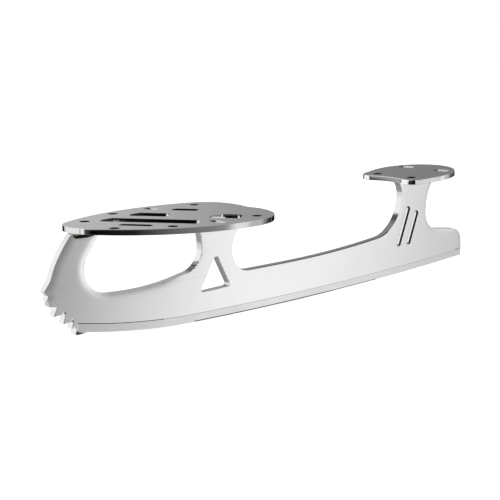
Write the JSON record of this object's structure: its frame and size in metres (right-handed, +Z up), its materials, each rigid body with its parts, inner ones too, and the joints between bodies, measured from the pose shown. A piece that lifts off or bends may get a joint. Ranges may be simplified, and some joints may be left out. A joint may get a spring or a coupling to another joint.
{
  "type": "ice skate blade",
  "caption": "Figure-skating ice dance blade in brazed stainless steel: cut-out sole plate, raised heel plate, toothed toe picks, rockered edge.",
  "frame": {"origin": "on the ice line below the middle of the bounding box: X 0 is midway between the foot of the toe picks and the tail, Y 0 is the blade's mid plane, Z 0 is the lowest point of the ground edge", "axes": "+X along the blade from the toe picks to the tail, +Z up towards the boot, +Y to the side that is the far one in the picture; the blade's thickness runs along Y"},
  "size_m": [0.254, 0.0636, 0.0577],
  "materials": {
    "blade_steel": "polished side faces with a fine grain, ground edge",
    "plate_steel": "satin",
    "braze_metal": "silver braze, slightly warm, smooth"
  },
  "bodies": {
    "root": {"blade": "blade_steel", "sole_plate": "plate_steel", "heel_plate": "plate_steel", "toe_braze": "braze_metal", "middle_braze": "braze_metal", "heel_braze": "braze_metal"}
  },
  "joints": []
}
